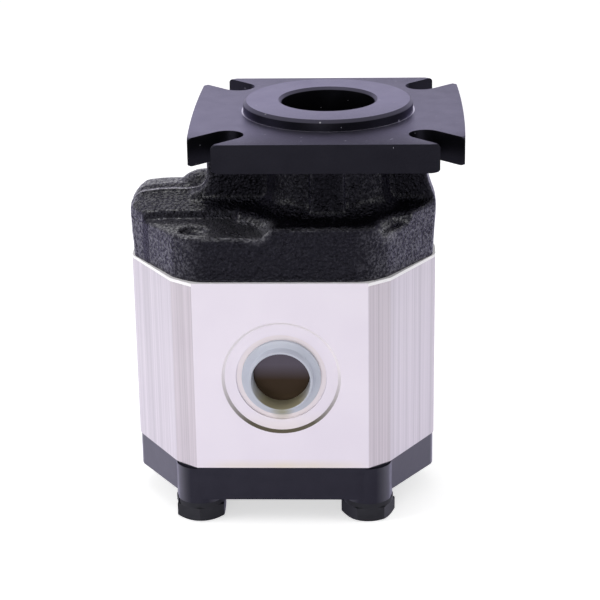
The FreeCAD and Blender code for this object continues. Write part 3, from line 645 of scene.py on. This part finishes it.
def copy_of_node(node, name):
    """A welded copy of a CAD node, as a new piece."""
    piece = frame["nodes"][node].copy()
    piece.data = piece.data.copy()
    piece.name = name
    piece.parent = None
    bpy.context.scene.collection.objects.link(piece)
    piece.hide_render = False
    piece.hide_viewport = False
    piece.hide_set(False)
    activate(piece)
    bpy.ops.object.mode_set(mode="EDIT")
    bpy.ops.mesh.select_all(action="SELECT")
    bpy.ops.mesh.remove_doubles(threshold=WELD)
    bpy.ops.object.mode_set(mode="OBJECT")
    return piece


def cut_flat(piece, height, keep_above):
    """Cut a piece at a height and close the cut, keeping one side."""
    activate(piece)
    bpy.ops.object.mode_set(mode="EDIT")
    bpy.ops.mesh.select_all(action="SELECT")
    bpy.ops.mesh.bisect(
        plane_co=(0, 0, height), plane_no=(0, 0, 1), use_fill=False,
        clear_inner=keep_above, clear_outer=not keep_above,
    )
    bpy.ops.mesh.select_mode(type="EDGE")
    bpy.ops.mesh.select_all(action="DESELECT")
    bpy.ops.mesh.select_non_manifold(
        extend=False, use_wire=False, use_multi_face=False, use_non_contiguous=False,
        use_verts=False,
    )
    bpy.ops.mesh.fill(use_beauty=True)
    bpy.ops.mesh.select_all(action="SELECT")
    bpy.ops.mesh.normals_make_consistent(inside=False)
    bpy.ops.object.mode_set(mode="OBJECT")


def raise_cut(piece, height, rise):
    """Push the faces of a flat cut up into the piece above."""
    activate(piece)
    mesh = piece.data
    bpy.ops.object.mode_set(mode="EDIT")
    bpy.ops.mesh.select_all(action="DESELECT")
    bpy.ops.object.mode_set(mode="OBJECT")
    for face in mesh.polygons:
        face.select = face.normal.z > 0.9 and abs(face.center.z - height) < FLAT
    bpy.ops.object.mode_set(mode="EDIT")
    bpy.ops.mesh.select_mode(type="FACE")
    bpy.ops.mesh.extrude_region_move(TRANSFORM_OT_translate={"value": (0, 0, rise)})
    bpy.ops.object.mode_set(mode="OBJECT")


def pick_vertices(piece, wanted):
    """Go to edit mode with only the wanted vertices selected."""
    activate(piece)
    bpy.ops.object.mode_set(mode="EDIT")
    bpy.ops.mesh.select_mode(type="VERT")
    bpy.ops.mesh.select_all(action="DESELECT")
    bpy.ops.object.mode_set(mode="OBJECT")
    for vertex in piece.data.vertices:
        vertex.select = wanted(vertex.co)
    bpy.ops.object.mode_set(mode="EDIT")


def lift(piece, wanted, rise):
    """Move the wanted vertices along Z."""
    pick_vertices(piece, wanted)
    bpy.ops.transform.translate(value=(0, 0, rise))
    bpy.ops.object.mode_set(mode="OBJECT")


def spread(piece, wanted, share):
    """Stretch the wanted vertices away from the body's middle plane."""
    pick_vertices(piece, wanted)
    bpy.ops.transform.resize(value=share, center_override=(BODY_X, 0, 0))
    bpy.ops.object.mode_set(mode="OBJECT")


def apply_modifier(piece, name, kind, **settings):
    """Add a modifier, set it and apply it."""
    activate(piece)
    modifier = piece.modifiers.new(name, kind)
    for key, value in settings.items():
        setattr(modifier, key, value)
    bpy.ops.object.modifier_apply(modifier=modifier.name)


def clouds(name, grain, depth=2):
    """A cloud texture for a Displace modifier."""
    texture = bpy.data.textures.new(name, "CLOUDS")
    texture.noise_scale = grain
    texture.noise_depth = depth
    texture.noise_basis = "IMPROVED_PERLIN"
    return texture


def cast_surface(piece, sizes):
    """Turn a machined-looking shape into one with soft edges and a sand-cast skin."""
    apply_modifier(
        piece, "skin", "REMESH", mode="VOXEL", voxel_size=sizes.grain, use_smooth_shade=True
    )
    apply_modifier(piece, "soften", "SMOOTH", factor=0.5, iterations=sizes.smoothing)
    layers = (
        ("waves", clouds("waves", 9 * MM), sizes.wave_height),
        ("sand", clouds("sand", 1.6 * MM, 3), sizes.sand_height * 2),
    )
    for name, texture, strength in layers:
        apply_modifier(
            piece, name, "DISPLACE", texture=texture, texture_coords="LOCAL",
            strength=strength, mid_level=0.5,
        )


def crisp_edges(piece, width):
    """Merge coplanar facets and break the sharp edges."""
    activate(piece)
    bpy.ops.object.mode_set(mode="EDIT")
    bpy.ops.mesh.select_all(action="SELECT")
    bpy.ops.mesh.dissolve_limited(angle_limit=math.radians(0.5))
    bpy.ops.object.mode_set(mode="OBJECT")
    apply_modifier(
        piece, "edge break", "BEVEL", width=width, segments=2, limit_method="ANGLE",
        angle_limit=BEVEL_ANGLE, use_clamp_overlap=True, harden_normals=False,
    )
    activate(piece)
    bpy.ops.object.shade_smooth_by_angle(angle=SMOOTH_ANGLE)
    apply_modifier(piece, "flat faces", "WEIGHTED_NORMAL", keep_sharp=True, weight=80)


def push(piece, name, share, direction, strength):
    """Move each vertex along an axis by its share, from 0 to 1, of a length."""
    group = piece.vertex_groups.new(name=name)
    for vertex in piece.data.vertices:
        weight = share(vertex.co)
        if weight > 0:
            group.add([vertex.index], weight, "REPLACE")
    apply_modifier(
        piece, name, "DISPLACE", vertex_group=name, direction=direction, strength=strength,
        mid_level=0.0,
    )


def join_to(piece, part):
    """Put a new part's shell into a piece."""
    bpy.ops.object.transform_apply(location=True, rotation=True, scale=True)
    deselect()
    part.select_set(True)
    piece.select_set(True)
    bpy.context.view_layer.objects.active = piece
    bpy.ops.object.join()


def finish_piece(piece, material, body="housing", nodes=()):
    """Give a piece its material and its body, and hide the nodes that it replaces."""
    piece.data.materials.clear()
    piece.data.materials.append(material)
    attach(piece, body)
    if nodes:
        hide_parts(*nodes)


def turned(name, profile, side):
    """A closed shape turned about the port's axis from pairs of radius and depth."""
    face = BODY_LOW[1] if side < 0 else BODY_HIGH[1]
    deselect()
    bpy.ops.mesh.primitive_circle_add(
        vertices=128, radius=profile[0][0], fill_type="NOTHING",
        location=(PORT_X, face - side * profile[0][1], PORT_Z), rotation=(math.pi / 2, 0, 0),
    )
    piece = bpy.context.object
    piece.name = name
    bpy.ops.object.transform_apply(location=True, rotation=True, scale=True)
    bpy.ops.object.mode_set(mode="EDIT")
    bpy.ops.mesh.select_mode(type="EDGE")
    bpy.ops.mesh.select_all(action="SELECT")
    for (radius, depth), (next_radius, next_depth) in zip(profile, profile[1:]):
        move = (0, side * (depth - next_depth), 0)
        bpy.ops.mesh.extrude_region_move(TRANSFORM_OT_translate={"value": move})
        share = next_radius / radius
        middle = (PORT_X, face - side * next_depth, PORT_Z)
        bpy.ops.transform.resize(value=(share, 1, share), center_override=middle)
    bpy.ops.mesh.select_all(action="SELECT")
    bpy.ops.mesh.remove_doubles(threshold=10 * WELD)
    bpy.ops.mesh.normals_make_consistent(inside=False)
    bpy.ops.object.mode_set(mode="OBJECT")
    activate(piece)
    bpy.ops.object.shade_smooth_by_angle(angle=PLUG_SMOOTH_ANGLE)
    return piece


def plug_profile(sizes):
    """Radius and depth of a port plug's outline, from its closed end round to its cup."""
    point = 0.005 * MM
    soft = 0.3 * MM
    seat, rim = sizes.seat_depth, sizes.rim_radius
    rim_face = seat - sizes.rim_thickness
    collar, top = sizes.collar_radius, -sizes.collar_height
    mouth = collar - sizes.wall
    return [
        (point, sizes.skirt_length),
        (collar - soft, sizes.skirt_length),
        (collar, sizes.skirt_length - soft),
        (collar + sizes.wall, seat),
        (rim, seat),
        (rim, rim_face + soft),
        (rim - 0.3 * soft, rim_face + 0.3 * soft),
        (rim - soft, rim_face),
        (collar + 3 * soft, rim_face),
        (collar + soft, rim_face - 0.5 * soft),
        (collar, rim_face - 2 * soft),
        (collar, top + soft),
        (collar - 0.4 * soft, top + 0.2 * soft),
        (collar - 0.5 * sizes.wall, top),
        (mouth + 0.4 * soft, top + 0.2 * soft),
        (mouth, top + soft),
        (mouth - soft, sizes.cup_depth - soft),
        (mouth - 2 * soft, sizes.cup_depth),
        (point, sizes.cup_depth + soft),
    ]


class GEARPUMP_OT_front_casting(bpy.types.Operator):
    """Block and neck of the front cover, with a sand-cast skin"""

    bl_idname = "gearpump.front_casting"
    bl_label = "Front casting"

    def execute(self, context):
        sizes = context.scene.gearpump_casting
        piece = copy_of_node("front_cover", "front_casting")
        underside = -sizes.flange_thickness
        cut_flat(piece, underside, False)
        raise_cut(piece, underside, sizes.skin_overlap)
        self.fill_tapped_holes(piece, sizes)
        self.add_mound(piece, sizes)
        cast_surface(piece, sizes)
        foot = BODY_HIGH[2] + sizes.joint_band
        lift(piece, lambda place: place.z < foot, sizes.joint_rise)
        self.shape_shoulder(piece, sizes)
        self.raise_seam(piece, sizes)
        material = cast_skin("cast iron skin", sizes)
        finish_piece(piece, material, nodes=("front_cover",))
        return {"FINISHED"}

    def fill_tapped_holes(self, piece, sizes):
        """Close each tapped hole with a skin just above its bolt's end."""
        low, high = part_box("spring_washers")
        inset = (low[1] + high[1]) / 2 - low[1] - BOLT_ROW
        for x in (low[0] + inset, high[0] - inset):
            for y in (-BOLT_ROW, BOLT_ROW):
                deselect()
                bpy.ops.mesh.primitive_cylinder_add(
                    vertices=32, radius=sizes.tapped_radius, depth=sizes.tapped_skin,
                    location=(x, y, sizes.tapped_fill - sizes.tapped_skin / 2),
                )
                join_to(piece, bpy.context.object)

    def add_mound(self, piece, sizes):
        """Set a soft mound at the foot of the web."""
        deselect()
        bpy.ops.mesh.primitive_uv_sphere_add(segments=48, ring_count=32, radius=1.0)
        mound = bpy.context.object
        mound.location = sizes.mound_place
        mound.scale = sizes.mound_size
        join_to(piece, mound)

    def shape_shoulder(self, piece, sizes):
        """Lift the shoulder's back half and let its left end fall away."""
        low, high, right = -37 * MM, -25 * MM, -38 * MM
        across, along, end_start, end_run = 3 * MM, 4 * MM, -54 * MM, 16 * MM

        def on_shoulder(place):
            return low <= place.z <= high and place.x <= right

        def rise(place):
            share = min(max(place.y / across, 0.0), 1.0) * min((right - place.x) / along, 1.0)
            return share if on_shoulder(place) else 0.0

        def fall(place):
            share = min(max((end_start - place.x) / end_run, 0.0), 1.0)
            return share * share if on_shoulder(place) else 0.0

        push(piece, "rise", rise, "Z", sizes.back_rise)
        push(piece, "fall", fall, "Z", -sizes.end_droop)

    def raise_seam(self, piece, sizes):
        """Lift the skin along the mould's parting plane, left of the web."""
        def seam(place):
            on_seam = place.x < sizes.seam_end and place.z > COVER_SEAM_LOW
            return 1 - abs(place.y) / sizes.seam_width if on_seam else 0.0

        push(piece, "seam", seam, "NORMAL", sizes.seam_height)


class GEARPUMP_OT_flange_plate(bpy.types.Operator):
    """Machined flange with its slots, ears and pilot ring"""

    bl_idname = "gearpump.flange_plate"
    bl_label = "Flange plate"

    def execute(self, context):
        sizes = context.scene.gearpump_casting
        piece = copy_of_node("front_cover", "flange_plate")
        cut_flat(piece, -sizes.flange_thickness, True)
        self.bow_sides(piece, sizes)
        crisp_edges(piece, sizes.edge_break)
        material = machined_black("machined iron black", sizes)
        finish_piece(piece, material, nodes=("front_cover",))
        return {"FINISHED"}

    def bow_sides(self, piece, sizes):
        """Let the left and right sides stand out in a shallow arc."""
        edge, blend, half_length, ends = 0.05 * MM, 2.5 * MM, 39 * MM, 0.3
        pick_vertices(piece, lambda place: abs(place.x) > FLANGE_REACH - edge)
        bpy.ops.mesh.subdivide(number_cuts=8)
        bpy.ops.object.mode_set(mode="OBJECT")
        for name, side in (("left", -1), ("right", 1)):
            def bow(place):
                inward = FLANGE_REACH - place.x * side
                arc = ends + (1 - ends) * max(1 - (place.y / half_length) ** 2, 0.0)
                return arc * (1 - max(inward, 0.0) / blend)

            push(piece, name, bow, "X", side * sizes.side_bow)


class GEARPUMP_OT_body(bpy.types.Operator):
    """Extruded body with broken edges"""

    bl_idname = "gearpump.body"
    bl_label = "Pump body"

    def execute(self, context):
        sizes = context.scene.gearpump_body
        piece = copy_of_node("pump_body", "body_extrusion")
        reach = sizes.outer_reach
        spread(piece, lambda place: abs(place.x - BODY_X) > reach, (sizes.spread, 1, 1))
        rise = context.scene.gearpump_casting.joint_rise
        lift(piece, lambda place: place.z > BODY_HIGH[2] - FLAT, rise)
        crisp_edges(piece, sizes.edge_break)
        drop = context.scene.gearpump_plug.oil_drop
        material = bare_aluminium("bare aluminium", sizes.silver, drop)
        finish_piece(piece, material, nodes=("pump_body",))
        return {"FINISHED"}


class GEARPUMP_OT_rear_casting(bpy.types.Operator):
    """Rear cover with its bolt bosses, under smooth black paint"""

    bl_idname = "gearpump.rear_casting"
    bl_label = "Rear casting"

    def execute(self, context):
        sizes = context.scene.gearpump_rear
        piece = copy_of_node("rear_cover", "rear_casting")
        reach, side = sizes.outer_reach, sizes.side_reach
        spread(piece, lambda place: abs(place.x - BODY_X) > reach, (sizes.spread, 1, 1))
        spread(piece, lambda place: abs(place.y) > side, (1, sizes.side_spread, 1))
        crisp_edges(piece, sizes.edge_break)
        material = painted_black("painted iron black", context.scene.gearpump_casting.black)
        finish_piece(piece, material, nodes=("rear_cover",))
        return {"FINISHED"}


class GEARPUMP_OT_plugs(bpy.types.Operator):
    """Oily plastic plugs in both ports"""

    bl_idname = "gearpump.plugs"
    bl_label = "Port plugs"

    def execute(self, context):
        sizes = context.scene.gearpump_plug
        material = milky_plastic("milky plastic", sizes)
        for name, side, lean in (("front", -1, sizes.tilt), ("rear", 1, 0.0)):
            piece = turned(name + "_plug", plug_profile(sizes), side)
            activate(piece)
            bpy.ops.object.mode_set(mode="EDIT")
            bpy.ops.mesh.select_all(action="SELECT")
            bpy.ops.transform.rotate(
                value=lean, orient_axis="Z", center_override=(PORT_X, side * BODY_HIGH[1], PORT_Z)
            )
            bpy.ops.object.mode_set(mode="OBJECT")
            finish_piece(piece, material, nodes=(name + "_port_plug",))
        return {"FINISHED"}


class GEARPUMP_OT_fasteners(bpy.types.Operator):
    """Hexagon bolts and spring washers under the rear cover"""

    bl_idname = "gearpump.fasteners"
    bl_label = "Fasteners"

    def execute(self, context):
        sizes = context.scene.gearpump_fasteners
        material = black_oxide("black oxide", sizes.black)
        for node, slot in (("housing_bolts", "bolt_black"), ("spring_washers", "washer_black")):
            piece = copy_of_node(node, node + "_finished")
            crisp_edges(piece, sizes.edge_break)
            finish_piece(piece, material, nodes=(node,))
        return {"FINISHED"}


class GEARPUMP_OT_inner_parts(bpy.types.Operator):
    """Finishes of the gears, bearing blocks, bushes, seals and pins"""

    bl_idname = "gearpump.inner_parts"
    bl_label = "Inner parts"

    def execute(self, context):
        steel, alloy, bronze = (0.42, 0.42, 0.44), (0.66, 0.66, 0.68), (0.50, 0.33, 0.18)
        finishes = {
            "gear_steel": plain_metal("ground gear steel", steel, 1.0, 0.25, 0.3 * MM),
            "block_aluminium": plain_metal("block aluminium", alloy, 1.0, 0.35, 0.4 * MM),
            "bush_bronze": plain_metal("bush bronze", bronze, 1.0, 0.35, 0.3 * MM),
            "seal_rubber": soft_stuff("seal rubber", (0.02, 0.02, 0.021), 0.55),
            "backup_plastic": soft_stuff("backup plastic", (0.70, 0.68, 0.60), 0.4),
            "ring_steel": plain_metal("ring steel", (0.09, 0.09, 0.10), 0.9, 0.4, 0.3 * MM),
            "pin_steel": plain_metal("pin steel", (0.5, 0.5, 0.52), 1.0, 0.22, 0.3 * MM),
        }
        slots = {part["node"]: part["material_slot"] for part in frame["record"]["subparts"]}
        for node, slot in slots.items():
            if slot in finishes:
                mesh = frame["nodes"][node].data
                mesh.materials.clear()
                mesh.materials.append(finishes[slot])
        return {"FINISHED"}


class GEARPUMP_OT_stage(bpy.types.Operator):
    """Pale floor, soft lights and the camera"""

    bl_idname = "gearpump.stage"
    bl_label = "Stage"

    def execute(self, context):
        sizes = context.scene.gearpump_stage
        scene = context.scene
        scene.view_settings.view_transform = "Standard"
        self.add_floor(sizes)
        self.add_world(scene, sizes)
        self.add_lights()
        self.add_camera(scene, sizes)
        return {"FINISHED"}

    def add_floor(self, sizes):
        """White where it is seen, and bluish where it is mirrored in the blacks."""
        deselect()
        bpy.ops.mesh.primitive_plane_add(size=sizes.floor_width, location=(0, 0, CAD_BOX[0][2]))
        floor = bpy.context.object
        floor.name = "floor"
        shade = Shade("pale floor", Roughness=0.7, Specular_IOR_Level=0.1, Emission_Strength=1.0)
        seen = shade.rays("Is Camera Ray", "Is Transmission Ray")
        mirrored = shade.rays("Is Glossy Ray")
        glow = shade.mix(mirrored, UNLIT_BLACK, sizes.floor_gleam)
        glow = shade.mix(seen, glow, sizes.floor_glow)
        mottle = shade.mix(shade.noise(0.4), sizes.floor_pale, FLOOR_MOTTLE)
        floor.data.materials.append(shade.drive(Base_Color=mottle, Emission_Color=glow))

    def add_world(self, scene, sizes):
        """White surround: full white where it is seen, less as a light."""
        world = bpy.data.worlds.new("studio")
        world.use_nodes = True
        tree = world.node_tree
        tree.nodes.clear()
        output = tree.nodes.new("ShaderNodeOutputWorld")
        background = tree.nodes.new("ShaderNodeBackground")
        background.inputs["Color"].default_value = (1.0, 1.0, 1.0, 1.0)
        rays = tree.nodes.new("ShaderNodeLightPath")
        strength = tree.nodes.new("ShaderNodeMapRange")
        strength.inputs["To Min"].default_value = 1.0
        strength.inputs["To Max"].default_value = sizes.surround
        tree.links.new(rays.outputs["Is Diffuse Ray"], strength.inputs["Value"])
        tree.links.new(strength.outputs[0], background.inputs["Strength"])
        tree.links.new(background.outputs[0], output.inputs["Surface"])
        scene.world = world

    def add_lights(self):
        """Square area lamps that face the pump."""
        for name, place, target, width, power in LAMPS:
            lamp = bpy.data.lights.new(name, "AREA")
            lamp.shape = "SQUARE"
            lamp.size = width
            lamp.energy = power
            item = bpy.data.objects.new(name, lamp)
            item.location = place
            aim = Vector(target) - Vector(place)
            item.rotation_euler = aim.to_track_quat("-Z", "Y").to_euler()
            bpy.context.scene.collection.objects.link(item)

    def add_camera(self, scene, sizes):
        """The photograph's camera, from its place, yaw, pitch and roll."""
        lens = bpy.data.cameras.new("camera")
        lens.lens = sizes.lens
        lens.sensor_width = 36.0
        lens.dof.use_dof = False
        camera = bpy.data.objects.new("camera", lens)
        yaw, pitch, roll = sizes.camera_yaw, sizes.camera_pitch, sizes.camera_roll
        ahead = Vector((
            math.sin(yaw) * math.cos(pitch), math.cos(yaw) * math.cos(pitch), -math.sin(pitch)
        ))
        level = Vector((math.cos(yaw), -math.sin(yaw), 0.0))
        up = level.cross(ahead)
        right = level * math.cos(roll) + up * math.sin(roll)
        top = up * math.cos(roll) - level * math.sin(roll)
        turn = Matrix((right, top, -ahead)).transposed().to_4x4()
        camera.matrix_world = Matrix.Translation(Vector(sizes.camera_place)) @ turn
        scene.collection.objects.link(camera)
        scene.camera = camera


class GEARPUMP_PT_panel(bpy.types.Panel):
    """Buttons for the pump's pieces"""

    bl_label = "Gear Pump"
    bl_idname = "GEARPUMP_PT_panel"
    bl_space_type = "VIEW_3D"
    bl_region_type = "UI"
    bl_category = "Gear Pump"

    def draw(self, context):
        for operator in OPERATORS:
            self.layout.operator(operator.bl_idname)


GROUPS = (
    (CastingSizes, "gearpump_casting"),
    (RearSizes, "gearpump_rear"),
    (BodySizes, "gearpump_body"),
    (PlugSizes, "gearpump_plug"),
    (FastenerSizes, "gearpump_fasteners"),
    (StageSizes, "gearpump_stage"),
)
OPERATORS = (
    GEARPUMP_OT_stage,
    GEARPUMP_OT_front_casting,
    GEARPUMP_OT_flange_plate,
    GEARPUMP_OT_body,
    GEARPUMP_OT_rear_casting,
    GEARPUMP_OT_plugs,
    GEARPUMP_OT_fasteners,
    GEARPUMP_OT_inner_parts,
)


def register():
    for group, name in GROUPS:
        bpy.utils.register_class(group)
        setattr(bpy.types.Scene, name, PointerProperty(type=group))
    for operator in OPERATORS:
        bpy.utils.register_class(operator)
    bpy.utils.register_class(GEARPUMP_PT_panel)


def unregister():
    bpy.utils.unregister_class(GEARPUMP_PT_panel)
    for operator in reversed(OPERATORS):
        bpy.utils.unregister_class(operator)
    for group, name in reversed(GROUPS):
        delattr(bpy.types.Scene, name)
        bpy.utils.unregister_class(group)


def main():
    """Register the add-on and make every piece."""
    register()
    for operator in OPERATORS:
        family, name = operator.bl_idname.split(".")
        getattr(getattr(bpy.ops, family), name)()


if __name__ == "__main__":
    main()
